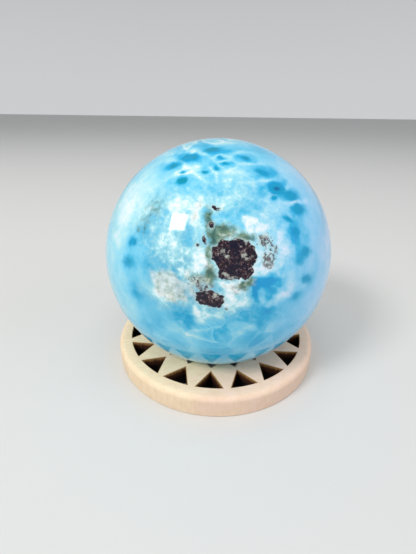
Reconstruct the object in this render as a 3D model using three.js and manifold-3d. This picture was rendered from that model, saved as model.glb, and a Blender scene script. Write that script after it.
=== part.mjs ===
// A polished stone ball resting in a pale wooden ring stand with laser-cut rays.
// Millimetres, +Z up. The origin is the centre of the stand's underside.

import * as THREE from "three";
import { mergeVertices } from "three/addons/utils/BufferGeometryUtils.js";
import Module from "manifold-3d";

// The ball.
const BALL_DIAMETER = 61.6;
const BALL_SUBDIVISIONS = 14; // splits of each edge of the starting icosahedron

// The stand: a flat disc cut from sheet wood.
const STAND_DIAMETER = 60;
const STAND_THICKNESS = 6;
const TOP_EDGE_ROUND = 1.5; // sanded round-over of the upper rim
const FOOT_EDGE_ROUND = 0.4; // the lower rim is only eased
const RIM_SEGMENTS = 108; // facets round the disc
const TOP_ARC_STEPS = 6;
const FOOT_ARC_STEPS = 2;

// The round seat that holds the ball, with a small notch opposite each ray.
const SEAT_RADIUS = 17.2;
const SEAT_GAP = 0.1; // keeps the ball's faceted surface clear of the seat's edge
const NOTCH_TIP_RADIUS = 18.9;
const NOTCH_HALF_WIDTH = 1.5; // at the seat's edge

// The rays: triangles cut through the disc, their tips towards the centre.
const RAY_COUNT = 18;
const RAY_TIP_RADIUS = 20.4;
const RAY_OUTER_RADIUS = 26.3; // the rays' curved outer sides lie on this circle
const RAY_HALF_ANGLE = THREE.MathUtils.degToRad(7.7);
const RAY_ARC_STEPS = 4;
const FIRST_RAY_ANGLE = -Math.PI / 2; // one ray points straight to the front, along -Y

const CUT_CLEARANCE = 1; // how far a cutter runs past each face it goes through

const ballRadius = BALL_DIAMETER / 2;
const standRadius = STAND_DIAMETER / 2;

const stoneFinish = new THREE.MeshStandardMaterial({
  color: new THREE.Color(0.47, 0.77, 0.9),
  roughness: 0.08,
  metalness: 0,
});
const woodFinish = new THREE.MeshStandardMaterial({
  color: new THREE.Color(0.93, 0.84, 0.7),
  roughness: 0.6,
  metalness: 0,
});

const wasm = await Module();
wasm.setup();

// A closed three.js geometry as a manifold-3d solid.
function toSolid(geometry) {
  const bare = geometry.clone();
  bare.deleteAttribute("normal");
  bare.deleteAttribute("uv");
  const merged = mergeVertices(bare, 1e-4);
  return new wasm.Manifold(
    new wasm.Mesh({
      numProp: 3,
      vertProperties: new Float32Array(merged.attributes.position.array),
      triVerts: new Uint32Array(merged.index.array),
    }),
  );
}

// A manifold-3d solid as a flat-shaded three.js geometry.
function toGeometry(solid) {
  const { vertProperties, triVerts } = solid.getMesh();
  const geometry = new THREE.BufferGeometry();
  geometry.setAttribute("position", new THREE.BufferAttribute(vertProperties, 3));
  geometry.setIndex(new THREE.BufferAttribute(triVerts, 1));
  const facets = geometry.toNonIndexed();
  facets.computeVertexNormals();
  return facets;
}

// The point at a radius and an angle round the stand's axis, seen from above.
function onPlan(radius, angle) {
  return new THREE.Vector2(radius * Math.cos(angle), radius * Math.sin(angle));
}

// A quarter-round on the section's outer edge, both ends included.
function roundedEdge(centreHeight, edgeRadius, startAngle, steps) {
  const centreRadius = standRadius - edgeRadius;
  const quarter = new THREE.ArcCurve(
    centreRadius, centreHeight, edgeRadius, startAngle, startAngle + Math.PI / 2);
  return quarter.getPoints(steps);
}

// The ring's cross-section, from the seat along the underside, round the rim and back
// over the top. It closes on itself.
function ringProfile() {
  const footEdge = roundedEdge(FOOT_EDGE_ROUND, FOOT_EDGE_ROUND, -Math.PI / 2, FOOT_ARC_STEPS);
  const topEdge = roundedEdge(STAND_THICKNESS - TOP_EDGE_ROUND, TOP_EDGE_ROUND, 0, TOP_ARC_STEPS);
  const seatFoot = new THREE.Vector2(SEAT_RADIUS, 0);
  const seatTop = new THREE.Vector2(SEAT_RADIUS, STAND_THICKNESS);
  return [seatFoot, ...footEdge, ...topEdge, seatTop, seatFoot.clone()];
}

// The plain ring, turned about Z.
function ringBlank() {
  const turned = new THREE.LatheGeometry(ringProfile(), RIM_SEGMENTS);
  turned.rotateX(Math.PI / 2);
  return toSolid(turned);
}

// A cutter of the given outline that runs right through the disc.
function throughCutter(outline, curveSteps) {
  const prism = new THREE.ExtrudeGeometry(outline, {
    depth: STAND_THICKNESS + 2 * CUT_CLEARANCE,
    bevelEnabled: false,
    curveSegments: curveSteps,
  });
  prism.translate(0, 0, -CUT_CLEARANCE);
  return toSolid(prism);
}

// One ray: straight sides from its tip, and an outer side that follows the rim.
function rayCutter(angle) {
  const tip = onPlan(RAY_TIP_RADIUS, angle);
  const corner = onPlan(RAY_OUTER_RADIUS, angle - RAY_HALF_ANGLE);
  const outline = new THREE.Shape();
  outline.moveTo(tip.x, tip.y);
  outline.lineTo(corner.x, corner.y);
  outline.absarc(0, 0, RAY_OUTER_RADIUS, angle - RAY_HALF_ANGLE, angle + RAY_HALF_ANGLE, false);
  outline.closePath();
  return throughCutter(outline, RAY_ARC_STEPS);
}

// One notch: a triangle whose tip points out at the ray and whose base lies inside the seat.
function notchCutter(angle) {
  const mouthRadius = SEAT_RADIUS - CUT_CLEARANCE;
  const mouthHalfWidth =
    (NOTCH_HALF_WIDTH * (NOTCH_TIP_RADIUS - mouthRadius)) / (NOTCH_TIP_RADIUS - SEAT_RADIUS);
  const mouthHalfAngle = Math.atan(mouthHalfWidth / mouthRadius);
  const outline = new THREE.Shape([
    onPlan(NOTCH_TIP_RADIUS, angle),
    onPlan(mouthRadius, angle + mouthHalfAngle),
    onPlan(mouthRadius, angle - mouthHalfAngle),
  ]);
  return throughCutter(outline, 1);
}

function makeStand() {
  let ring = ringBlank();
  for (let i = 0; i < RAY_COUNT; i++) {
    const angle = FIRST_RAY_ANGLE + (i * 2 * Math.PI) / RAY_COUNT;
    ring = ring.subtract(rayCutter(angle)).subtract(notchCutter(angle));
  }
  const stand = new THREE.Mesh(toGeometry(ring), woodFinish);
  stand.name = "ring_stand";
  return stand;
}

// The ball sits on the seat's upper edge, so part of it hangs down inside the ring.
function makeBall() {
  const geometry = new THREE.IcosahedronGeometry(ballRadius, BALL_SUBDIVISIONS);
  const ball = new THREE.Mesh(geometry, stoneFinish);
  ball.name = "stone_ball";
  const riseAboveSeat = Math.sqrt(ballRadius ** 2 - SEAT_RADIUS ** 2);
  ball.position.z = STAND_THICKNESS + riseAboveSeat + SEAT_GAP;
  return ball;
}

const ballOnStand = new THREE.Group();
ballOnStand.add(makeStand(), makeBall());

export default ballOnStand;
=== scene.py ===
"""The looks of a polished stone ball on its pale wooden ring stand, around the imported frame."""

import math

import bmesh
import bpy
import numpy as np
from mathutils import Matrix, Vector


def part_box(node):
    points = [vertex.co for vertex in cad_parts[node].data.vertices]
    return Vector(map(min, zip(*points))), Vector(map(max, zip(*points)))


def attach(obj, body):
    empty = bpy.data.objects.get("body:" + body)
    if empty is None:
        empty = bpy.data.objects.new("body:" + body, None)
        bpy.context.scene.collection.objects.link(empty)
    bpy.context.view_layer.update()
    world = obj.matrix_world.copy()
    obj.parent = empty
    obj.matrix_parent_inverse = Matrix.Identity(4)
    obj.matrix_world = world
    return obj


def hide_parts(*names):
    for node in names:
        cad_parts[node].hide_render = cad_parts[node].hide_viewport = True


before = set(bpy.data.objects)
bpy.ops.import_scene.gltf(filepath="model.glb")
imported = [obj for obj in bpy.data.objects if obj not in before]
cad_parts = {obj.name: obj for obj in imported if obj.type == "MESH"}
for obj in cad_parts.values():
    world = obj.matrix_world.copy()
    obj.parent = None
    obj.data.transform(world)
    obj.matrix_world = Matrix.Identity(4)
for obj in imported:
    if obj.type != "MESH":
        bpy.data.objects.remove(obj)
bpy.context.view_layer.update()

bl_info = {
    "name": "Stone Ball on a Ring Stand",
    "version": (1, 0, 0),
    "blender": (4, 5, 0),
    "location": "3D View > Sidebar > Ornament",
    "description": "Dresses a polished stone ball, its wooden ring stand and a plain studio",
    "category": "Add Mesh",
}

MM = 0.001

ball_low, ball_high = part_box("stone_ball")
ball_centre = (ball_low + ball_high) / 2
ball_radius = max((v.co - ball_centre).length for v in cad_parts["stone_ball"].data.vertices)
stand_low, stand_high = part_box("ring_stand")
stand_radius = (stand_high.x - stand_low.x) / 2
stand_thickness = stand_high.z


def srgb(red, green, blue):
    """A colour, given as 0 to 255 a channel, as the linear light that shaders take."""
    shares = (channel / 255 for channel in (red, green, blue))
    return tuple(s / 12.92 if s <= 0.04045 else ((s + 0.055) / 1.055) ** 2.4 for s in shares)


# ---------------------------------------------------------------------------------------
# Settings
# ---------------------------------------------------------------------------------------


def colour(name, description, default):
    """A setting that is a colour, as linear light."""
    return bpy.props.FloatVectorProperty(
        name=name, description=description, subtype="COLOR", min=0, max=1, default=default
    )


def length(name, description, default):
    """A setting that is a length, in metres."""
    return bpy.props.FloatProperty(
        name=name, description=description, unit="LENGTH", min=0, precision=5, default=default
    )


def angle(name, description, degrees):
    """A setting that is an angle, with its default in degrees."""
    return bpy.props.FloatProperty(
        name=name, description=description, unit="ROTATION", default=math.radians(degrees)
    )


def amount(name, description, default):
    """A setting that is a plain number, in the unit that its description gives."""
    return bpy.props.FloatProperty(name=name, description=description, min=0, default=default)


class StoneBallSettings(bpy.types.PropertyGroup):
    radius: length("Radius", "Radius of the polished ball", ball_radius)
    face_turn: angle("Face turn", "How far the show face is turned from the front, to the right", 2.7)
    face_tilt: angle("Face tilt", "How far the show face is tilted up from the front", 22.8)
    pit_depth: length("Pit depth", "Depth of the pits that polishing leaves in the dark rock", 0.12 * MM)
    ice: colour("Ice blue", "The palest blue stone", srgb(166, 219, 228))
    sky: colour("Sky blue", "The commonest stone", srgb(114, 200, 229))
    sea: colour("Sea blue", "Clear blue stone", srgb(38, 172, 214))
    deep: colour("Deep blue", "The bluest stone", srgb(0, 150, 206))
    teal: colour("Teal", "The eyes of the cells", srgb(0, 148, 192))
    navy: colour("Navy", "The darkest middles of the eyes", srgb(0, 96, 150))
    pine: colour("Pine", "The greener eyes of the cells", srgb(0, 138, 164))
    # The next colour is a painted reflection: the lavender sheen of light on the ball's right side, laid
    # into the stone's colour.
    lilac_reflection: colour("Lilac", "Tint of the stone towards the right", srgb(150, 192, 252))
    cloud: colour("Cloud", "White clouds", srgb(232, 238, 240))
    mist: colour("Mist", "Tint of the dull patches on the show face", srgb(204, 216, 222))
    cream: colour("Cream", "Creamy clouds and crystals", srgb(196, 200, 190))
    moss: colour("Moss", "The green skin round the dark rock", srgb(100, 126, 94))
    moss_dark: colour("Dark moss", "The darkest of the green skin", srgb(40, 70, 48))
    rock: colour("Rock", "The dark rock", srgb(24, 12, 20))
    rust: colour("Rust", "Lighter grains in the dark rock", srgb(74, 48, 58))
    ink: colour("Ink", "The blue-black heart of the dark rock", srgb(4, 10, 38))


class RingStandSettings(bpy.types.PropertyGroup):
    seat_radius: length("Seat radius", "Radius of the round hole under the ball", 17.2 * MM)
    notch_tip: length("Notch tip", "Distance of the notches' tips from the middle", 18.9 * MM)
    notch_half_width: length("Notch half width", "Half width of a notch at the seat", 1.5 * MM)
    ray_count: bpy.props.IntProperty(name="Rays", description="Number of rays", min=3, default=18)
    ray_tip: length("Ray tip", "Distance of the rays' tips from the middle", 20.4 * MM)
    ray_outer: length("Ray outer side", "Radius of the circle that the rays end on", 26.3 * MM)
    ray_half_angle: angle("Ray half angle", "Half the angle that a ray takes up, from the middle", 7.7)
    top_round: length("Top edge", "Radius of the sanded upper rim", 1.5 * MM)
    foot_round: length("Foot edge", "Radius of the eased lower rim", 0.4 * MM)
    eased_edge: length("Eased edge", "Radius of the edges of the rays and the seat", 0.1 * MM)
    scorch_width: length("Scorch", "Width of the browned line round each cut", 0.3 * MM)
    wood: colour("Wood", "The bare wood", srgb(255, 231, 194))
    # The next colour is partly the wood's own pinker patches and partly painted shade on the stand's
    # right side, away from the key light.
    pink_wood_and_shade: colour("Pink wood", "Where the wood is pinker", srgb(250, 215, 198))
    # The next colour is painted shade: the ring's outer wall, which faces sideways and gets less light
    # than the top, is darkened in colour.
    painted_wall_shade: colour("Edge tone", "How much darker the wood is round its edge", srgb(232, 232, 234))
    grain: colour("Grain", "The darker lines of the wood", srgb(234, 200, 160))
    toasted: colour("Toasted", "The top of a cut wall", srgb(170, 126, 72))
    browned: colour("Browned", "A cut wall a little further down", srgb(72, 38, 22))
    # The darkest cut-wall colour and the depth below it are partly char and partly painted shade: the
    # walls turn black deep down, where little light gets into the narrow cuts.
    burnt_and_shaded: colour("Burnt", "A cut wall where it is charred", srgb(14, 8, 6))
    char_and_shade_depth: length("Char depth", "How far down a cut wall it is black", 3 * MM)


class StageSettings(bpy.types.PropertyGroup):
    floor: colour("Floor", "The pale floor", srgb(214, 214, 212))
    key_power: amount("Key", "Power of the key light, in watts", 7.5)
    key_width: length("Key width", "Width of the key light", 0.31)
    key_turn: angle("Key turn", "How far to the right of the front the key light stands", -47.8)
    key_rise: angle("Key rise", "How high above the ball the key light stands", 42.5)
    key_lean: angle("Key lean", "How far the key light is turned about its own middle", 20)
    fill_power: amount("Fill", "Power of a fill light, in watts, before its own share", 2)
    sky_strength: amount("Sky", "Strength of the light from overhead", 0.42)
    horizon_strength: amount("Horizon", "Strength of the pale backdrop", 0.62)
    lens: amount("Lens", "Focal length in millimetres", 21.56)
    camera_place: bpy.props.FloatVectorProperty(
        name="Camera",
        description="Place of the camera",
        subtype="TRANSLATION",
        unit="LENGTH",
        default=(4.19 * MM, -88.59 * MM, 68.17 * MM),
    )
    camera_drop: angle("Camera drop", "How far the camera looks down", 26.41)
    camera_turn: angle("Camera turn", "How far the camera looks to the left", 4.41)
    camera_roll: angle("Camera roll", "How far the camera leans", 0.71)


# ---------------------------------------------------------------------------------------
# Shader building
# ---------------------------------------------------------------------------------------


class Finish:
    """One material and the nodes that make its pattern, so that a finish reads from top to bottom."""

    def __init__(self, name):
        old = bpy.data.materials.get(name)
        if old:
            bpy.data.materials.remove(old)
        self.material = bpy.data.materials.new(name)
        self.material.use_nodes = True
        self.tree = self.material.node_tree
        self.shader = self.tree.nodes["Principled BSDF"]
        self.place = self.node("ShaderNodeTexCoord").outputs["Object"]

    def node(self, kind, **settings):
        """A new node of that kind, with its settings."""
        made = self.tree.nodes.new(kind)
        for key, value in settings.items():
            setattr(made, key, value)
        return made

    def feed(self, socket, value):
        """Give a socket a link, or a plain value, or leave it as it is."""
        if isinstance(value, bpy.types.NodeSocket):
            self.tree.links.new(value, socket)
        elif value is not None:
            socket.default_value = value

    def attribute(self, name):
        """A number that the mesh holds for each of its points."""
        return self.node("ShaderNodeAttribute", attribute_name=name).outputs["Fac"]

    def math(self, operation, a, b=None, c=None):
        """Arithmetic on numbers."""
        made = self.node("ShaderNodeMath", operation=operation)
        for socket, value in zip(made.inputs, (a, b, c)):
            self.feed(socket, value)
        return made.outputs[0]

    def vector(self, operation, a, b=None, scale=None):
        """Arithmetic on places."""
        made = self.node("ShaderNodeVectorMath", operation=operation)
        self.feed(made.inputs[0], a)
        self.feed(made.inputs[1], b)
        self.feed(made.inputs[3], scale)
        return made.outputs[0]

    def parts(self, vector):
        """The three parts of a place."""
        made = self.node("ShaderNodeSeparateXYZ")
        self.feed(made.inputs[0], vector)
        return made.outputs

    def stretched(self, *times):
        """The place, so that a pattern over it comes out that many times longer each way."""
        return self.vector("DIVIDE", self.place, times)

    def step(self, value, low, high, to_low=0.0, to_high=1.0):
        """A smooth step of value from to_low at low to to_high at high."""
        made = self.node("ShaderNodeMapRange", interpolation_type="SMOOTHSTEP")
        for socket, given in zip(made.inputs, (value, low, high, to_low, to_high)):
            self.feed(socket, given)
        return made.outputs[0]

    def around_zero(self, value, spread):
        """A pattern that runs from 0 to 1, moved to run half a spread each side of zero."""
        return self.math("MULTIPLY", self.math("SUBTRACT", value, 0.5), spread)

    def noise(self, size, detail=2.0, roughness=0.5, place=None, output="Fac"):
        """Cloudy noise whose largest features are about size across, in metres."""
        made = self.node("ShaderNodeTexNoise", noise_dimensions="3D")
        self.feed(made.inputs["Vector"], place or self.place)
        self.feed(made.inputs["Scale"], 1 / size)
        self.feed(made.inputs["Detail"], detail)
        self.feed(made.inputs["Roughness"], roughness)
        return made.outputs[output]

    def cells(self, size, feature, place=None, output="Distance"):
        """Voronoi cells about size across, in metres."""
        made = self.node("ShaderNodeTexVoronoi", feature=feature)
        self.feed(made.inputs["Vector"], place or self.place)
        self.feed(made.inputs["Scale"], 1 / size)
        return made.outputs[output]

    def warped(self, size, amount):
        """The place moved about by noise of that size, by about amount, in metres."""
        push = self.vector("SUBTRACT", self.noise(size, 2.0, output="Color"), (0.5, 0.5, 0.5))
        return self.vector("ADD", self.place, self.vector("SCALE", push, scale=2 * amount))

    def mix(self, share, a, b, blend="MIX"):
        """Colour a with that share of colour b in it, or multiplied by it."""
        made = self.node("ShaderNodeMix", data_type="RGBA", blend_type=blend)
        self.feed(made.inputs[0], share)
        for socket, given in zip(made.inputs[6:8], (a, b)):
            self.feed(socket, given if isinstance(given, bpy.types.NodeSocket) else (*given, 1))
        return made.outputs[2]

    def ramp(self, value, *stops):
        """A run of colours over value; each stop is (value, colour)."""
        made = self.node("ShaderNodeValToRGB")
        points = made.color_ramp.elements
        while len(points) < len(stops):
            points.new(1.0)
        for point, (at, shade) in zip(points, stops):
            point.position = at
            point.color = (*shade, 1)
        self.feed(made.inputs["Fac"], value)
        return made.outputs["Color"]

    def bump(self, height, distance):
        """Fine relief, which runs from nothing to that distance as height runs from 0 to 1."""
        made = self.node("ShaderNodeBump")
        self.feed(made.inputs["Height"], height)
        self.feed(made.inputs["Distance"], distance)
        self.feed(self.shader.inputs["Normal"], made.outputs["Normal"])


def placed(name, data, finish=None):
    """The object of that name with this mesh, light or camera, in the place of any made before."""
    old = bpy.data.objects.get(name)
    if old:
        bpy.data.objects.remove(old)
    made = bpy.data.objects.new(name, data)
    bpy.context.scene.collection.objects.link(made)
    if finish:
        data.materials.append(finish)
    return made


def piece_of(node, name, mesh, finish):
    """A finished piece that rides with the object and stands for a CAD node."""
    piece = placed(name, mesh, finish)
    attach(piece, "root")
    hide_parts(node)
    return piece


def write_values(mesh, name, values):
    """One number for each point of the mesh, which a finish reads by that name."""
    layer = mesh.attributes.new(name, "FLOAT", "POINT")
    layer.data.foreach_set("value", values.astype(np.float32))


# ---------------------------------------------------------------------------------------
# The stone ball
# ---------------------------------------------------------------------------------------

BALL_CUTS = 127  # cuts along each edge of the cube that the ball's net of quads starts from

# What shows on the ball's face. Each patch is an oval: degrees right and up of the middle of
# the face, half width and half height in degrees, its turn, and for soft ones their strength.
# Many of these rows were worked out by a separate converting script, and not laid out by hand.

# The dark rock: the large lump, the small one low on its left, and crumbs up the moss.
ROCK_LUMPS = (
    (6.3, -2.9, 6, 6.8, 0),
    (0.4, -0.7, 2.6, 3.4, 0),
    (2.6, 2.4, 2.6, 2.2, 20),
    (7.5, 1.8, 4.7, 3.3, 0),
    (11.5, -1, 3.2, 3.8, 0),
    (2.9, -7.9, 2.6, 1.8, 0),
    (11.3, -6.4, 2.5, 3.1, 0),
    (-1.3, 16.6, 1.6, 0.7, -15),
    (-2.3, 10.1, 1.2, 1.1, 30),
    (-5.1, 4.7, 0.7, 1.3, 16),
    (-7.5, 2.4, 0.6, 0.4, 0),
    (-3.6, -17.6, 4.4, 3, 0),
    (-0.4, -18.2, 3.4, 2.9, 0),
)

# Rock that is broken up in pale stone, to the right of the large lump and round the small one.
SPECKLED_ROCK = (
    (17.3, 4.3, 2.8, 2.5, 0, 1.1),
    (21.4, 1.8, 1.8, 1.4, 0, 0.8),
    (19.1, -2.3, 2.6, 3, 0, 1.1),
    (-8.4, -10.4, 5, 2.6, 0, 0.6),
    (-4.6, -14, 3.4, 2, 0, 0.9),
    (4.6, -21.4, 1.6, 1, -20, 0.6),
)

# Pale crystals set in the dark rock, and its blue-black heart.
PALE_CRYSTALS = (
    (2.1, 1, 0.4, 0.9, -25),
    (3.2, -1.1, 1.6, 0.7, 0),
    (10.3, -0.6, 1.3, 0.7, 20),
    (11.1, -2.3, 1.3, 0.5, 15),
    (10.3, 4.4, 0.5, 1, 0),
    (2.9, -8, 1.2, 0.7, 0),
    (5.8, -9.2, 1.4, 0.5, 0),
    (-0.3, -16, 1.2, 1, 0),
)
INK_HEART = ((6.1, 2.7, 2.3, 1.6, 0),)

# The green skin: thick above the large lump and down its left side, faint far out to the left.
MOSS_SKIN = (
    (1.6, 7.8, 4.6, 2.8, 15, 1.25),
    (-0.8, 5, 3, 2.6, 0, 0.8),
    (10.6, 6.1, 4.6, 1.9, -8, 0.9),
    (-3.6, 12.5, 2.1, 4.8, 0, 0.75),
    (-3.1, -0.5, 1.8, 3.2, 0, 0.75),
    (-2.5, -8.3, 2.7, 3.9, 0, 0.95),
    (9.6, -12.4, 3.8, 2.2, 20, 0.95),
    (13, -10.2, 2, 2, 0, 0.7),
    (-8, -9.5, 4.5, 2.6, -15, 0.55),
    (-31, 11, 4.5, 9, -20, 0.34),
    (-25, 19, 4, 5, -30, 0.3),
)

# Where the stone is whiter, and where it is clearer and bluer; both shift its tone. Two of the whiter
# rows are painted reflections: pale bands of light on the polish along the ball's left and right sides.
WHITE_CLOUDS_AND_PAINTED_REFLECTIONS = (
    (8, -3, 19, 16, 0, -0.3),
    (13.2, 11.2, 3.6, 3.2, -30, -0.9),
    (22.5, 3, 4, 7.5, 0, -0.3),
    (17.5, -5.5, 3.6, 3.4, 0, -0.4),
    (-15.5, 17, 6.5, 4.5, 0, -0.45),
    (-7, 15, 4.5, 6.5, 0, -0.45),
    (-15, 2, 9, 9, 0, -0.32),
    (-6.5, -3, 4.5, 6, 0, -0.4),
    (4.5, -13, 6, 3, 15, -0.6),
    (8, -18, 6.5, 5, 0, -0.5),
    (-6, -25, 5, 4, 0, -0.45),
    (3, -24.5, 6.5, 4, 0, -0.3),
    (28.5, -15, 7.5, 3.5, 25, -0.5),
    (-24, -16, 7.5, 5.5, -10, -0.45),
    (-36, 27, 13, 15, 20, -0.22),
    # painted reflection: a pale band of light along the left side of the ball
    (-46, 5, 10, 24, 0, -0.3),
    # painted reflection: a pale band of light along the right side of the ball
    (60, 0, 14, 56, 0, -0.28),
    (38, 40, 12, 10, -20, -0.2),
    (25.5, 8, 5, 7, 0, -0.28),
    (5, 33, 15, 4.5, 0, -0.2),
    (12, -31, 5, 3.5, 0, -0.25),
)
CLEAR_STONE = (
    (19.5, -11, 6.5, 3.8, 15, 0.95),
    (16, -17, 2.4, 3, 0, 0.65),
    (20.5, -23, 4.8, 4.2, 0, 0.45),
    (-13, -28, 4.5, 5, 0, 0.35),
    (-0.5, -36, 4.5, 4.5, 0, 0.25),
    (-17, -6, 1.8, 3, 0, 0.4),
    (4.5, 15.5, 6, 5, 0, 0.2),
    (34, 6, 4.5, 15, 0, 0.24),
    (0, -20, 34, 12, 0, 0.22),
    (0, -48, 50, 18, 0, 0.2),
    (-8, 43, 22, 8, 10, 0.34),
    (26, 30, 9, 9, -40, 0.45),
)

# Creamy clouds, and patches where the stone is a little dull.
CREAM_PATCHES = (
    (-20, -13, 10, 6.5, -15, 1),
    (-14, -17.5, 5.5, 4, -20, 0.75),
    (-7.5, -11, 6, 3, 0, 0.55),
    (5, -13.5, 5, 2.6, 15, 0.65),
    (-7.5, 14.5, 3.6, 6, 0, 0.7),
)
DULL_PATCHES = (
    (-20, -16, 15, 15, 0, 0.95),
    (4, -18, 18, 12, 0, 0.65),
    (-16, 2, 12, 11, 0, 0.7),
    (-27, 15, 8, 13, -25, 0.6),
    (6, 20, 20, 12, 0, 0.35),
)

# Where the stone is made of cells: over the top, low on the front, and round the sides.
CELL_PATCHES = (
    (-7, 56, 28, 9, 10, 1.0),
    (2, -37, 42, 15, 0, 0.6),
    (72, 10, 14, 60, 0, 0.5),
    (125, 35, 38, 40, 0, 0.5),
    (-125, -15, 38, 45, 0, 0.4),
)

# The teal eyes over the top and down the right, which have the white web between them.
TEAL_EYES = (
    (-13.6, 43, 4.6, 3, 16, 0.9),
    (-21, 38.5, 4, 2.4, 5, 0.7),
    (-15, 29.3, 2.8, 2, 0, 0.9),
    (-15.4, 33.8, 1.6, 0.9, 0, 0.7),
    (-3.6, 48.2, 5.4, 3.2, 0, 0.7),
    (0.3, 41.7, 1.6, 1.4, 0, 0.8),
    (2.5, 37.8, 1.8, 1, 0, 0.7),
    (-1.2, 34.8, 0.9, 2, 28, 0.6),
    (-5.7, 32.8, 1.9, 1.2, -14, 0.75),
    (11.2, 42.7, 3.2, 1.8, -12, 0.65),
    (18.1, 34.9, 3.8, 2.4, -13, 1),
    (24.2, 27.5, 3.6, 2.8, 10, 1.5),
    (22.4, 22.7, 1.6, 1.3, 9, 0.85),
    (31.4, 25.6, 4.2, 2.5, 13, 0.95),
    (34.4, 19.6, 4.2, 2.6, 12, 0.95),
)

# Softer eyes further down both sides, with no web.
SOFT_EYES = (
    (28.2, 14.3, 2.8, 1.3, -10, 0.85),
    (32, 9.5, 2.4, 2.8, 0, 0.7),
    (38.3, 1.6, 4, 2.8, 0, 0.6),
    (34.6, -2.8, 4, 4, 0, 0.45),
    (39.8, -10.4, 4.8, 3, 0, 0.62),
    (34.5, -18, 4, 3.2, 0, 0.5),
    (-36.6, 3.9, 3.4, 2.6, 0, 0.75),
    (-39.8, -4.9, 5, 3.6, 0, 0.65),
    (-36, -19, 4, 3.4, 0, 0.4),
)

CRUST = (1, 3, 33, 34, 0)  # the oval of crumbly, clouded stone that takes up the show face
CRUST_SHARPNESS = 9  # how suddenly the crust ends
BACK_STARTS = 85  # degrees from the middle of the face at which the back of the ball starts
BACK_FADE = 30  # degrees over which the cells of the back come in
BACK_CELLS = 0.55  # strength of the cells all over the back
WEB_WIDTH = 0.75  # width of the web between the eyes, in half widths of an eye
WEB_REACH = 2.8  # how far from an eye the web reaches, in half widths of the eye
PATCH_SOFTNESS = 1.2  # how fast a soft patch fades away from its middle
LUMP_JOIN = 0.5  # degrees over which neighbouring lumps run together
LUMP_REACH = 9  # degrees past which the depth inside a lump isn't told apart

# The borders of the patches wander by ripples of two lengths: length and height in degrees.
WIDE_RIPPLE = (11, 1.3)
FINE_RIPPLE = (3.5, 0.5)
RIPPLE_WAVES = 24
RIPPLE_SPREAD = (0.6, 1.5)  # how much the waves of a ripple vary in length
TIGHT_WANDER = (0.25, 0.6)  # shares of the wide and the fine ripple in tightly laid patches
FIRM_WANDER = 0.4  # share of the fine ripple alone in firmly laid ones

PIT_RIPPLE = 2.6  # degrees from pit to pit in the dark rock
PIT_RIM = 1.5  # degrees from the rock's edge to full depth
PIT_VARIATION = 0.4  # how much the pits vary in depth
PIT_LIMIT = 1.2  # the deepest pit, as a share of the pit depth


def quad_ball(radius, centre):
    """A ball of even quads: a finely cut cube blown up round."""
    net = bmesh.new()
    bmesh.ops.create_cube(net, size=2)
    bmesh.ops.subdivide_edges(net, edges=net.edges[:], cuts=BALL_CUTS, use_grid_fill=True)
    mesh = bpy.data.meshes.new("stone_ball")
    net.to_mesh(mesh)
    net.free()
    corners = np.empty(len(mesh.vertices) * 3)
    mesh.vertices.foreach_get("co", corners)
    directions = np.tan(corners.reshape(-1, 3) * math.pi / 4)
    directions /= np.linalg.norm(directions, axis=1, keepdims=True)
    mesh.vertices.foreach_set("co", (directions * radius + np.array(centre)).ravel())
    mesh.shade_smooth()
    return mesh, directions


def ripples(points, degrees, seed):
    """A smooth random field over the points, about -1 to 1: sine waves that cross every way."""
    draw = np.random.default_rng(seed)
    ways = draw.normal(size=(RIPPLE_WAVES, 3))
    ways /= np.linalg.norm(ways, axis=1, keepdims=True)
    ways *= 2 * math.pi / math.radians(degrees) * draw.uniform(*RIPPLE_SPREAD, (RIPPLE_WAVES, 1))
    starts = draw.uniform(0, 2 * math.pi, RIPPLE_WAVES)
    return np.sin(points @ ways.T + starts).sum(axis=1) / math.sqrt(RIPPLE_WAVES / 2)


def wander(directions, ripple, seeds):
    """How far a ripple moves each point to the right and up, in degrees."""
    degrees, height = ripple
    return height * np.array([ripples(directions, degrees, seed) for seed in seeds])


def face_degrees(directions, turn, tilt):
    """Degrees right and up of the middle of the show face, for directions from the ball's middle."""
    forward = (math.sin(turn) * math.cos(tilt), -math.cos(turn) * math.cos(tilt), math.sin(tilt))
    middle = np.array(forward)
    right = np.array((math.cos(turn), math.sin(turn), 0))
    up = np.cross(middle, right)
    away = np.degrees(np.arccos(np.clip(directions @ middle, -1, 1)))
    across = directions @ right
    along = directions @ up
    reach = np.maximum(np.hypot(across, along), 1e-9)  # never zero, at the very middle
    return np.array((away * across / reach, away * along / reach))


def oval_distance(right, up, oval):
    """Distance from an oval's middle, as a share of the way to its edge."""
    at_right, at_up, half_width, half_height, turn = oval[:5]
    spin = math.radians(turn)
    across = (right - at_right) * math.cos(spin) + (up - at_up) * math.sin(spin)
    along = (up - at_up) * math.cos(spin) - (right - at_right) * math.sin(spin)
    return np.hypot(across / half_width, along / half_height)


def soft_sum(right, up, patches):
    """The strengths of soft-edged patches, added up at each point."""
    total = np.zeros(len(right))
    for patch in patches:
        strength = patch[5]
        total += strength * np.exp(-PATCH_SOFTNESS * oval_distance(right, up, patch) ** 2)
    return total


def web_between(right, up, eyes):
    """1 on the pale web where two eyes are equally near, fading to 0 towards and far from each eye."""
    nearest, second = np.sort([oval_distance(right, up, eye) for eye in eyes], axis=0)[:2]
    off_the_web = (second - nearest) / WEB_WIDTH
    far_away = nearest / WEB_REACH
    return np.exp(-(off_the_web**2) - far_away**2)


def depth_inside(right, up, lumps):
    """Degrees from the edge of the nearest lump, positive inside it; lumps that touch run together."""
    total = np.zeros(len(right))
    for lump in lumps:
        depth = (1 - oval_distance(right, up, lump)) * min(lump[2], lump[3])
        total += np.exp(np.clip(depth, -LUMP_REACH, LUMP_REACH) / LUMP_JOIN)
    return np.log(total) * LUMP_JOIN


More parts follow.
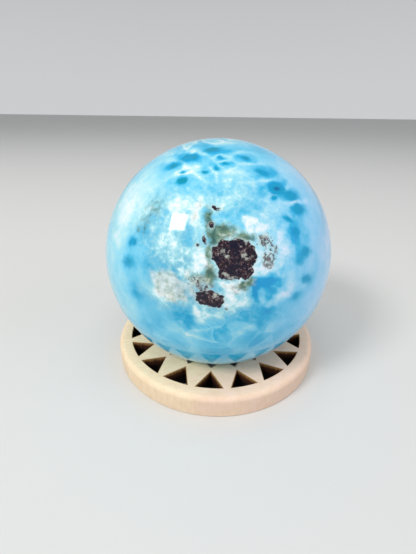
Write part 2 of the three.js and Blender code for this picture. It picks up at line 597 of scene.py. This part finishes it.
def crust_share(right, up):
    """1 on the crumbly crust of the show face, and 0 on the smooth stone round it."""
    return 1 / (1 + np.exp((oval_distance(right, up, CRUST) - 1) * CRUST_SHARPNESS))


def cell_share(right, up):
    """Where the stone is made of cells: in patches, and all over the back."""
    back = np.clip((np.hypot(right, up) - BACK_STARTS) / BACK_FADE, 0, 1)
    return soft_sum(right, up, CELL_PATCHES) + BACK_CELLS * back


def sink_pits(mesh, directions, rock_depth, ball):
    """Sink the pits of the dark rock into the polished surface."""
    depth = 1 - PIT_VARIATION + PIT_VARIATION * ripples(directions, PIT_RIPPLE, seed=5)
    depth *= np.clip(rock_depth / PIT_RIM, 0, 1)
    radii = ball.radius - ball.pit_depth * np.clip(depth, 0, PIT_LIMIT)
    points = directions * radii[:, None] + np.array(ball_centre)
    mesh.vertices.foreach_set("co", points.ravel())
    mesh.update()


def stone_ball_mesh(ball):
    """The ball, with what lies where on its show face written on its points."""
    mesh, directions = quad_ball(ball.radius, ball_centre)
    place = face_degrees(directions, ball.face_turn, ball.face_tilt)
    wide = wander(directions, WIDE_RIPPLE, seeds=(1, 2))
    fine = wander(directions, FINE_RIPPLE, seeds=(3, 4))
    loose = place + wide + fine
    tight = place + TIGHT_WANDER[0] * wide + TIGHT_WANDER[1] * fine
    firm = place + FIRM_WANDER * fine
    rock_depth = depth_inside(*firm, ROCK_LUMPS)
    laid_out = {
        "rock_depth": rock_depth,
        "crystal_depth": depth_inside(*firm, PALE_CRYSTALS),
        "ink_depth": depth_inside(*firm, INK_HEART),
        "moss": soft_sum(*firm, MOSS_SKIN),
        "speckled": soft_sum(*tight, SPECKLED_ROCK),
        "tone_shift": soft_sum(*loose, WHITE_CLOUDS_AND_PAINTED_REFLECTIONS + CLEAR_STONE),
        "eye": soft_sum(*firm, TEAL_EYES + SOFT_EYES),
        "web": web_between(*firm, TEAL_EYES),
        "cream": soft_sum(*loose, CREAM_PATCHES),
        "dull": np.clip(soft_sum(*loose, DULL_PATCHES), 0, 1),
        "crust": crust_share(*loose),
        "cells": cell_share(*loose),
        "rightward": place[0],
    }
    for name, values in laid_out.items():
        write_values(mesh, name, values)
    sink_pits(mesh, directions, rock_depth, ball)
    return mesh


# Sizes of the patterns in the stone.
CLOUD = 11 * MM
CLUMP = 4 * MM
CRUMB = 1.6 * MM
GRAIN = 0.7 * MM
CELL = 5 * MM
SEAM = 2.6 * MM  # from seam to seam in the crust
GRANULE = 1.1 * MM
TEAR = 1.2 * MM  # the size of the ragged borders of eyes, cream and moss
MOTTLE = 1.4 * MM
ROCK_GRAIN = 0.55 * MM
ROCK_EDGE = 0.8 * MM  # the size of the dark rock's ragged border
BUBBLE = 2.3 * MM  # from ring to ring in the speckled rock
BLOTCH = 2.2 * MM
STONE_IOR = 1.42  # a polish weak enough to leave the dark rock dark


def crust_layers(f, crust, bent):
    """Clouds, clumps, crumbs and seams: patterns that are strongest in the crust."""
    crumbled = f.warped(CRUMB, 0.7 * MM)
    seams = f.step(f.cells(SEAM, "DISTANCE_TO_EDGE", crumbled), 0.0, 0.15, 1, 0)
    granules = f.step(f.cells(GRANULE, "F1", crumbled), 0.1, 0.5, 1, 0)
    return (
        f.around_zero(f.noise(CLOUD, 2, 0.5, bent), 0.7),
        f.around_zero(f.noise(CLUMP, 3, 0.55, bent), f.math("MULTIPLY_ADD", crust, 0.5, 0.4)),
        f.around_zero(f.noise(CRUMB, 2, 0.5), f.math("MULTIPLY_ADD", crust, 0.28, 0.1)),
        f.around_zero(f.noise(GRAIN, 2, 0.6), f.math("MULTIPLY_ADD", crust, 0.2, 0.05)),
        f.math("MULTIPLY", f.math("ADD", seams, granules), f.math("MULTIPLY", crust, -0.09)),
        f.math("MULTIPLY", crust, 0.045),
    )


def cell_layers(f, cells, bent):
    """Cells: each with a tone of its own, and bluer in the middle."""
    return (
        f.around_zero(f.cells(CELL, "SMOOTH_F1", bent), f.math("MULTIPLY", cells, -0.4)),
        f.around_zero(f.cells(CELL, "F1", bent, "Color"), f.math("MULTIPLY", cells, 0.75)),
    )


def stone_tone(f):
    """How blue the stone is from place to place: 0 white, then ice, sky, sea, and 1 the deepest blue."""
    cells = f.attribute("cells")
    bent = f.warped(7 * MM, 2.2 * MM)
    tone = 0.42
    for layer in (
        *crust_layers(f, f.attribute("crust"), bent),
        *cell_layers(f, cells, bent),
        f.attribute("tone_shift"),
        f.math("MULTIPLY", f.attribute("eye"), 0.6),
    ):
        tone = f.math("ADD", tone, layer)

    # The pale walls of the cells and the pale web between the eyes, broken here and there.
    walls = f.step(f.cells(CELL, "DISTANCE_TO_EDGE", bent), 0.0, 0.2, 1, 0)
    walls = f.math("MULTIPLY", walls, f.step(cells, 0.2, 0.9))
    tone = f.math("MULTIPLY_ADD", walls, -0.22, tone)
    unbroken = f.step(f.noise(2.5 * MM, 2, 0.5), 0.3, 0.6, 0.45, 1)
    web = f.math("MULTIPLY", f.attribute("web"), unbroken)
    tone = f.math("MULTIPLY_ADD", web, -0.72, tone)

    # Even the whitest cloud keeps a little grain.
    grain = f.math("ADD", f.around_zero(f.noise(0.9 * MM, 3, 0.65), 0.7), 0.05)
    return f.math("SMOOTH_MAX", tone, grain, 0.2)


def blue_stone(f, ball, tone):
    """The stone's colour by its tone, dulled in patches, with a painted reflection: a lavender sheen of
    light on the ball's right side.
    """
    stops = (0.0, ball.cloud), (0.2, ball.ice), (0.45, ball.sky), (0.72, ball.sea), (0.95, ball.deep)
    stone = f.ramp(tone, *stops)
    dull = f.math("MULTIPLY", f.attribute("dull"), f.step(tone, 0.05, 0.4))
    stone = f.mix(dull, stone, ball.mist, "MULTIPLY")
    # Painted reflection: the stone leans to lavender 50 to 62 degrees right of the middle, less on
    # deeper blue, where light shines on the polish.
    rightward = f.attribute("rightward")
    lean = f.math("MULTIPLY", f.step(rightward, 0, 50), f.step(rightward, 62, 90, 1, 0))
    lean = f.math("MULTIPLY", lean, f.step(tone, 0.1, 0.8, 0.5, 0.08))
    return f.mix(lean, stone, ball.lilac_reflection)


def with_eyes(f, ball, stone, tear):
    """Teal eyes, some greener to the left of the middle, with navy hearts where they are strongest."""
    leftward = f.step(f.attribute("rightward"), 12, 22, 1, 0)
    greener = f.math("MULTIPLY", f.step(f.noise(CLUMP), 0.42, 0.58), leftward)
    green = f.mix(greener, ball.teal, ball.pine)
    eye = f.math("ADD", f.attribute("eye"), f.math("MULTIPLY", tear, 0.5))
    green = f.mix(f.step(eye, 0.9, 1.5), green, ball.navy)
    return f.mix(f.step(eye, 0.18, 0.75), stone, green)


def with_cream(f, ball, stone, tear):
    """Creamy clouds, mottled with a little moss."""
    mottle = f.noise(1.3 * MM, 3, 0.65)
    creamy = f.ramp(mottle, (0.25, ball.moss), (0.48, ball.cream), (0.72, ball.cloud))
    cream = f.math("ADD", f.attribute("cream"), tear)
    return f.mix(f.step(cream, 0.25, 0.9, 0, 0.7), stone, creamy)


def with_moss(f, ball, stone, tear):
    """The mottled green skin round the dark rock."""
    mottle = f.noise(MOTTLE, 3, 0.65)
    mossy = f.ramp(mottle, (0.4, ball.moss_dark), (0.57, ball.moss), (0.76, ball.cream))
    moss = f.math("ADD", f.attribute("moss"), f.math("MULTIPLY", tear, 1.7))
    share = f.math("MULTIPLY", f.step(moss, 0.05, 0.85, 0, 0.9), f.step(f.attribute("moss"), 0.02, 0.2))
    return f.mix(share, stone, mossy)


def with_grit(f, ball, stone, speckle):
    """Speckled rock: grains and small brown rings in creamy stone."""
    speckled = f.attribute("speckled")
    stone = f.mix(f.step(speckled, 0.1, 0.8, 0, 0.5), stone, ball.cream)
    grains = f.math("ADD", speckled, f.around_zero(f.noise(0.65 * MM, 2, 0.6), 3.2))
    bubbles = f.cells(BUBBLE, "F1", f.warped(TEAR, 0.6 * MM))
    rings = f.math("MULTIPLY", f.step(bubbles, 0.22, 0.32, 0, 0.7), f.step(bubbles, 0.38, 0.5, 1, 0))
    share = f.math("MAXIMUM", f.step(grains, 0.45, 1, 0, 0.85), rings)
    share = f.math("MULTIPLY", share, f.step(speckled, 0.1, 0.5))
    gravel = f.ramp(speckle, (0.43, ball.rock), (0.56, ball.rust), (0.74, ball.cream))
    return f.mix(share, stone, gravel)


def dark_rock(f, ball, ragged, speckle):
    """The dark rock: lighter grains, a blue-black heart, inky blotches and pale crystals."""
    rock = f.ramp(speckle, (0.38, ball.ink), (0.47, ball.rock), (0.6, ball.rust), (0.74, ball.cream))
    heart = f.step(f.math("ADD", f.attribute("ink_depth"), ragged), -0.8, 0.9, 0, 0.85)
    blotch = f.step(f.noise(BLOTCH, 2, 0.5), 0.4, 0.55, 0.6, 0)
    rock = f.mix(f.math("MAXIMUM", heart, blotch), rock, ball.ink)
    crystal = f.math("ADD", f.attribute("crystal_depth"), ragged)
    return f.mix(f.step(crystal, -0.2, 0.5, 0, 0.65), rock, ball.cream)


def stone_finish(ball):
    """The polished stone, laid up from the blue stone to the dark rock with its thin pale border."""
    f = Finish("polished_stone")
    tear = f.around_zero(f.noise(TEAR, 3, 0.6), 0.8)
    speckle = f.noise(ROCK_GRAIN, 3, 0.7)
    ragged = f.around_zero(f.noise(ROCK_EDGE, 3, 0.65), 2.2)
    depth = f.math("ADD", f.attribute("rock_depth"), ragged)
    stone = blue_stone(f, ball, stone_tone(f))
    stone = with_eyes(f, ball, stone, tear)
    stone = with_cream(f, ball, stone, tear)
    stone = with_moss(f, ball, stone, tear)
    stone = with_grit(f, ball, stone, speckle)
    stone = f.mix(f.step(depth, -0.9, -0.3, 0, 0.3), stone, ball.cream)
    stone = f.mix(f.step(depth, -0.25, 0.15), stone, dark_rock(f, ball, ragged, speckle))
    f.feed(f.shader.inputs["Base Color"], stone)
    f.feed(f.shader.inputs["Roughness"], f.step(depth, -0.2, 0.4, 0.05, 0.3))
    f.shader.inputs["IOR"].default_value = STONE_IOR
    return f.material


class ORNAMENT_OT_stone_ball(bpy.types.Operator):
    """Make the polished ball of blue stone"""

    bl_idname = "ornament.stone_ball"
    bl_label = "Stone Ball"
    bl_options = {"REGISTER", "UNDO"}

    def execute(self, context):
        ball = context.scene.stone_ball
        piece_of("stone_ball", "polished_ball", stone_ball_mesh(ball), stone_finish(ball))
        return {"FINISHED"}


# ---------------------------------------------------------------------------------------
# The ring stand
# ---------------------------------------------------------------------------------------

RIM_POINTS = 360  # points round the rim
ROUND_STEPS = 8  # steps round each rounded edge
EASE_STEPS = 2  # steps round each eased edge
RAY_ARC_POINTS = 9  # points along the outer side of a ray
SEAT_ARC_POINTS = 8  # points along the seat from notch to notch
SHARP_EDGE = math.radians(35)


def ray_outline(stand, at):
    """The outline of one ray on plan, counter-clockwise from its tip, in millimetres."""
    tip = stand.ray_tip / MM
    outer = stand.ray_outer / MM
    arc = np.linspace(at - stand.ray_half_angle, at + stand.ray_half_angle, RAY_ARC_POINTS)
    points = [(tip * math.cos(at), tip * math.sin(at))]
    points += [(outer * math.cos(a), outer * math.sin(a)) for a in arc]
    return np.array(points)


def seat_outline(stand, ray_angles):
    """The outline of the seat with its notches, counter-clockwise, in millimetres."""
    seat = stand.seat_radius / MM
    tip = stand.notch_tip / MM
    mouth = stand.notch_half_width / stand.seat_radius
    pitch = 2 * math.pi / stand.ray_count
    points = []
    for at in ray_angles:
        points.append((tip * math.cos(at), tip * math.sin(at)))
        for a in np.linspace(at + mouth, at + pitch - mouth, SEAT_ARC_POINTS):
            points.append((seat * math.cos(a), seat * math.sin(a)))
    return np.array(points)


def moved_out(outline, distance):
    """A closed outline with every side moved out by distance."""
    before = outline - np.roll(outline, 1, axis=0)
    after = np.roll(outline, -1, axis=0) - outline
    normals = [
        np.column_stack((side[:, 1], -side[:, 0])) / np.linalg.norm(side, axis=1, keepdims=True)
        for side in (before, after)
    ]
    mitre = (normals[0] + normals[1]) / (1 + (normals[0] * normals[1]).sum(axis=1, keepdims=True))
    return outline + distance * mitre


def rim_outline(radius):
    """A circle on plan, in millimetres."""
    turn = np.linspace(0, 2 * math.pi, RIM_POINTS, endpoint=False)
    return np.column_stack((radius * np.cos(turn), radius * np.sin(turn)))


class RingBuilder:
    """Loops of points, stacked and joined into one closed skin, in millimetres."""

    def __init__(self):
        self.net = bmesh.new()
        self.scorch = self.net.verts.layers.float.new("scorch")
        self.wall = self.net.verts.layers.float.new("wall")

    def loop(self, outline, height, scorch=0.0, wall=0.0):
        """A loop of points at one height, with how scorched they are and how much they are a wall."""
        verts = [self.net.verts.new((x, y, height)) for x, y in outline]
        for vert in verts:
            vert[self.scorch] = scorch
            vert[self.wall] = wall
        return verts

    def join(self, loops, inward):
        """Quads between each loop and the next."""
        for one, other in zip(loops, loops[1:]):
            for i in range(len(one)):
                j = (i + 1) % len(one)
                corners = (one[i], one[j], other[j], other[i])
                self.net.faces.new(corners[::-1] if inward else corners)

    def cap(self, loops):
        """A flat face with holes, inside the first loop and outside the others."""
        edges = [
            self.net.edges.get((loop[i], loop[(i + 1) % len(loop)]))
            for loop in loops
            for i in range(len(loop))
        ]
        bmesh.ops.triangle_fill(self.net, edges=edges, use_beauty=True, use_dissolve=False)

    def finished_mesh(self, name):
        """The whole skin as a mesh in metres, smooth but for its sharp edges."""
        bmesh.ops.recalc_face_normals(self.net, faces=self.net.faces[:])
        for face in self.net.faces:
            face.smooth = True
        mesh = bpy.data.meshes.new(name)
        self.net.to_mesh(mesh)
        self.net.free()
        mesh.transform(Matrix.Scale(MM, 4))
        mesh.set_sharp_from_angle(angle=SHARP_EDGE)
        return mesh


def cut_loops(builder, outline, stand, thickness):
    """The wall of one cut from top to bottom, with eased, browned edges."""
    ease = stand.eased_edge / MM
    brown = stand.scorch_width / MM
    loops = [builder.loop(moved_out(outline, brown), thickness)]
    for step in range(EASE_STEPS + 1):
        turned = step / EASE_STEPS
        turn = math.pi / 2 * turned
        edge = moved_out(outline, ease * (1 - math.sin(turn)))
        height = thickness - ease * (1 - math.cos(turn))
        loops.append(builder.loop(edge, height, scorch=0.5 + 0.5 * turned))
    loops.append(builder.loop(outline, ease, scorch=1.0))
    loops.append(builder.loop(moved_out(outline, ease), 0, scorch=1.0))
    loops.append(builder.loop(moved_out(outline, brown), 0))
    return loops


def rim_loops(builder, stand, radius, thickness):
    """The outside of the ring, from the top down and in under the foot."""
    top = stand.top_round / MM
    foot = stand.foot_round / MM
    margin = stand.scorch_width / MM
    loops = [builder.loop(rim_outline(radius - top - margin), thickness)]
    for step in range(ROUND_STEPS + 1):
        turned = step / ROUND_STEPS
        turn = math.pi / 2 * turned
        edge = rim_outline(radius - top + top * math.sin(turn))
        loops.append(builder.loop(edge, thickness - top + top * math.cos(turn), wall=turned))
    for step in range(ROUND_STEPS + 1):
        turn = math.pi / 2 * step / ROUND_STEPS
        edge = rim_outline(radius - foot + foot * math.cos(turn))
        loops.append(builder.loop(edge, foot - foot * math.sin(turn), wall=1.0))
    loops.append(builder.loop(rim_outline(radius - foot - margin), 0))
    return loops


def ring_stand_mesh(stand):
    """The ring with its rays, seat and notches cut right through."""
    radius = stand_radius / MM
    thickness = stand_thickness / MM
    pitch = 2 * math.pi / stand.ray_count
    ray_angles = [-math.pi / 2 + i * pitch for i in range(stand.ray_count)]
    outlines = [seat_outline(stand, ray_angles)] + [ray_outline(stand, at) for at in ray_angles]
    builder = RingBuilder()
    rim = rim_loops(builder, stand, radius, thickness)
    builder.join(rim, inward=True)
    cuts = [cut_loops(builder, outline, stand, thickness) for outline in outlines]
    for loops in cuts:
        builder.join(loops, inward=False)
    builder.cap([rim[0]] + [loops[0] for loops in cuts])
    builder.cap([rim[-1]] + [loops[-1] for loops in cuts])
    return builder.finished_mesh("ring_stand")


# Sizes of the patterns in the wood.
GRAIN_LINE = 0.5 * MM
GRAIN_STRETCH = 8  # how much longer than wide the grain lines on the flat are
STROKE = 0.4 * MM
STROKE_STRETCH = 14  # how much higher than wide the strokes on a cut or turned wall are
FIGURE = 3 * MM
TINT = 9 * MM
GRAIN_HEIGHT = 0.03 * MM


def wood_lines(f, strokes, wall):
    """Grain lines along the flat, and upright strokes on the walls."""
    along = f.noise(GRAIN_LINE, 3, 0.6, f.stretched(GRAIN_STRETCH, 1, 1))
    on_the_flat = f.math("MULTIPLY", along, f.math("SUBTRACT", 1, wall))
    return f.math("ADD", on_the_flat, f.math("MULTIPLY", strokes, wall))


def bare_wood(f, stand, lines, across):
    """Pale wood, pinker here and there and, as painted shade, pinker and a little darker towards the
    right, away from the key light, with a soft figure and darker grain lines.
    """
    # Painted shade: the share of pink wood grows towards the right, the side away from the key light.
    rightward = f.step(across, -stand_radius, stand_radius, -0.3, 0.5)
    tint = f.math("ADD", rightward, f.noise(TINT, 3, 0.5))
    wood = f.mix(f.step(tint, 0.2, 1.0, 0, 0.8), stand.wood, stand.pink_wood_and_shade)
    wood = f.mix(f.step(f.noise(FIGURE, 3, 0.6), 0.4, 0.7, 0, 0.3), wood, stand.grain)
    return f.mix(f.step(lines, 0.4, 0.75, 0, 0.45), wood, stand.grain)


def charred_and_shaded_wood(f, stand, strokes, height):
    """A cut wall: toasted at its top and darker further down, to black, in fine upright strokes; the
    browning is char, and the black deep down is partly char and partly painted shade inside the narrow
    cut.
    """
    # Partly painted shade: the wall grows darker with depth, as the inside of a narrow cut gets little
    # light.
    down = f.math("SUBTRACT", stand_thickness, height)
    down = f.math("ADD", down, f.around_zero(strokes, 2.2 * MM))
    share = f.math("DIVIDE", down, stand.char_and_shade_depth)
    return f.ramp(share, (0.0, stand.toasted), (0.35, stand.browned), (1.0, stand.burnt_and_shaded))


def wood_finish(stand):
    """Bare pale wood with charred cuts, with painted shade on its outer wall and its right side, and
    deep in the cuts.
    """
    f = Finish("pale_wood")
    wall = f.attribute("wall")
    strokes = f.noise(STROKE, 3, 0.65, f.stretched(1, 1, STROKE_STRETCH))
    lines = wood_lines(f, strokes, wall)
    across, _, height = f.parts(f.place)
    wood = bare_wood(f, stand, lines, across)
    # Painted shade: the outer wall is darkened in colour, as it gets less light than the top.
    wood = f.mix(wall, wood, stand.painted_wall_shade, "MULTIPLY")
    scorched = f.step(f.attribute("scorch"), 0.1, 0.8)
    wood = f.mix(scorched, wood, charred_and_shaded_wood(f, stand, strokes, height))
    f.feed(f.shader.inputs["Base Color"], wood)
    f.shader.inputs["Roughness"].default_value = 0.6
    f.shader.inputs["Specular IOR Level"].default_value = 0.3
    f.bump(lines, GRAIN_HEIGHT)
    return f.material


class ORNAMENT_OT_ring_stand(bpy.types.Operator):
    """Make the wooden ring stand with its ring of rays"""

    bl_idname = "ornament.ring_stand"
    bl_label = "Ring Stand"
    bl_options = {"REGISTER", "UNDO"}

    def execute(self, context):
        stand = context.scene.ring_stand
        piece_of("ring_stand", "wood_ring", ring_stand_mesh(stand), wood_finish(stand))
        return {"FINISHED"}


# ---------------------------------------------------------------------------------------
# The stage
# ---------------------------------------------------------------------------------------

KEY_DISTANCE = 1.2  # metres, as are the sizes below
KEY_HEIGHT_TO_WIDTH = 0.98
FILL_DISTANCE = 0.9
FILL_SIZE = 0.8
FLOOR_SIZE = 12.0
FLOOR_SPECK = 40 * MM
SENSOR_WIDTH = 36  # millimetres
NEAREST_SEEN = 1 * MM
BACKDROP_TINT = (0.96, 0.98, 1.0, 1)
BACKDROP_RISE = 0.6  # the sine of the height at which the backdrop reaches its overhead strength
# Each fill light: degrees to the right, degrees up, its share of the fill power and its tint.
FILLS = (
    ("right_fill", 75, 20, 0.95, (0.92, 0.96, 1.0)),
    ("front_fill", -10, 25, 0.3, (0.92, 0.96, 1.0)),
    ("overhead", 0, 80, 1.5, (1.0, 0.97, 0.94)),
)


def soft_box(name, azimuth, elevation, distance, size, power, tint=(1, 1, 1), shape="ELLIPSE", lean=0.0):
    """A soft light that faces the ball; azimuth is counted to the right from the front."""
    data = bpy.data.lights.new(name, "AREA")
    data.shape = shape
    data.size, data.size_y = size
    data.energy = power
    data.color = tint
    light = placed(name, data)
    way = Vector((
        math.sin(azimuth) * math.cos(elevation),
        -math.cos(azimuth) * math.cos(elevation),
        math.sin(elevation),
    ))
    light.location = ball_centre + way * distance
    facing = (-way).to_track_quat("-Z", "Y").to_matrix()
    light.rotation_euler = (facing @ Matrix.Rotation(lean, 3, "Z")).to_euler()
    light.visible_camera = False
    return light


def make_lights(stage):
    """A bright key light, which the polish mirrors, and soft fills, which it doesn't."""
    soft_box(
        "key",
        stage.key_turn,
        stage.key_rise,
        KEY_DISTANCE,
        (stage.key_width, stage.key_width * KEY_HEIGHT_TO_WIDTH),
        stage.key_power,
        shape="RECTANGLE",
        lean=stage.key_lean,
    )
    for name, turn, rise, share, tint in FILLS:
        fill = soft_box(
            name,
            math.radians(turn),
            math.radians(rise),
            FILL_DISTANCE,
            (FILL_SIZE, FILL_SIZE),
            stage.fill_power * share,
            tint,
        )
        fill.visible_glossy = False


def floor_finish(stage):
    """A plain, pale, faintly clouded floor."""
    f = Finish("pale_floor")
    clouded = f.step(f.noise(FLOOR_SPECK, 3, 0.5), 0.3, 0.7, 0, 0.04)
    f.feed(f.shader.inputs["Base Color"], f.mix(clouded, stage.floor, (0.6, 0.6, 0.6)))
    f.shader.inputs["Roughness"].default_value = 0.5
    f.shader.inputs["Specular IOR Level"].default_value = 0.3
    return f.material


def make_floor(stage):
    """One wide flat square under the stand."""
    half = FLOOR_SIZE / 2
    corners = [(-half, -half, 0), (half, -half, 0), (half, half, 0), (-half, half, 0)]
    mesh = bpy.data.meshes.new("floor")
    mesh.from_pydata(corners, [], [(0, 1, 2, 3)])
    floor = placed("floor", mesh, floor_finish(stage))


def make_world(stage):
    """A pale backdrop all round, a little dimmer overhead."""
    world = bpy.data.worlds.new("studio")
    world.use_nodes = True
    tree = world.node_tree
    way = tree.nodes.new("ShaderNodeTexCoord").outputs["Generated"]
    parts = tree.nodes.new("ShaderNodeSeparateXYZ")
    tree.links.new(way, parts.inputs[0])
    strength = tree.nodes.new("ShaderNodeMapRange")
    strength.interpolation_type = "SMOOTHSTEP"
    tree.links.new(parts.outputs["Z"], strength.inputs["Value"])
    strength.inputs["From Min"].default_value = 0.0
    strength.inputs["From Max"].default_value = BACKDROP_RISE
    strength.inputs["To Min"].default_value = stage.horizon_strength
    strength.inputs["To Max"].default_value = stage.sky_strength
    background = tree.nodes["Background"]
    background.inputs["Color"].default_value = BACKDROP_TINT
    tree.links.new(strength.outputs["Result"], background.inputs["Strength"])
    bpy.context.scene.world = world


def make_camera(stage):
    """The camera, close in front of the stand and a little above the ball."""
    camera = placed("camera", bpy.data.cameras.new("camera"))
    camera.data.lens = stage.lens
    camera.data.sensor_width = SENSOR_WIDTH
    camera.data.clip_start = NEAREST_SEEN
    camera.location = stage.camera_place
    turn = Matrix.Rotation(stage.camera_turn, 3, "Z")
    drop = Matrix.Rotation(math.pi / 2 - stage.camera_drop, 3, "X")
    roll = Matrix.Rotation(stage.camera_roll, 3, "Z")
    camera.rotation_euler = (turn @ drop @ roll).to_euler()
    bpy.context.scene.camera = camera


class ORNAMENT_OT_stage(bpy.types.Operator):
    """Make the plain floor, the soft lights and the camera"""

    bl_idname = "ornament.stage"
    bl_label = "Stage"
    bl_options = {"REGISTER", "UNDO"}

    def execute(self, context):
        stage = context.scene.ornament_stage
        make_floor(stage)
        make_world(stage)
        make_camera(stage)
        make_lights(stage)
        context.scene.view_settings.view_transform = "Standard"
        return {"FINISHED"}


# ---------------------------------------------------------------------------------------
# Panel and registration
# ---------------------------------------------------------------------------------------


class VIEW3D_PT_ornament(bpy.types.Panel):
    """Settings and makers of the stone ball, its stand and the stage"""

    bl_label = "Stone Ball on a Ring Stand"
    bl_space_type = "VIEW_3D"
    bl_region_type = "UI"
    bl_category = "Ornament"

    def draw(self, context):
        for group, operator in MAKERS:
            box = self.layout.box()
            box.operator(operator)
            settings = getattr(context.scene, group)
            for key in settings.bl_rna.properties.keys():
                if key not in ("rna_type", "name"):
                    box.prop(settings, key)


MAKERS = (
    ("stone_ball", "ornament.stone_ball"),
    ("ring_stand", "ornament.ring_stand"),
    ("ornament_stage", "ornament.stage"),
)
CLASSES = (
    StoneBallSettings,
    RingStandSettings,
    StageSettings,
    ORNAMENT_OT_stone_ball,
    ORNAMENT_OT_ring_stand,
    ORNAMENT_OT_stage,
    VIEW3D_PT_ornament,
)


def register():
    """Register the settings, the makers and the panel."""
    for cls in CLASSES:
        bpy.utils.register_class(cls)
    bpy.types.Scene.stone_ball = bpy.props.PointerProperty(type=StoneBallSettings)
    bpy.types.Scene.ring_stand = bpy.props.PointerProperty(type=RingStandSettings)
    bpy.types.Scene.ornament_stage = bpy.props.PointerProperty(type=StageSettings)


def unregister():
    """Take the settings, the makers and the panel away again."""
    del bpy.types.Scene.stone_ball
    del bpy.types.Scene.ring_stand
    del bpy.types.Scene.ornament_stage
    for cls in reversed(CLASSES):
        bpy.utils.unregister_class(cls)


def main():
    """Make the ball, the stand and the stage."""
    register()
    bpy.ops.ornament.stone_ball()
    bpy.ops.ornament.ring_stand()
    bpy.ops.ornament.stage()


if __name__ == "__main__":
    main()
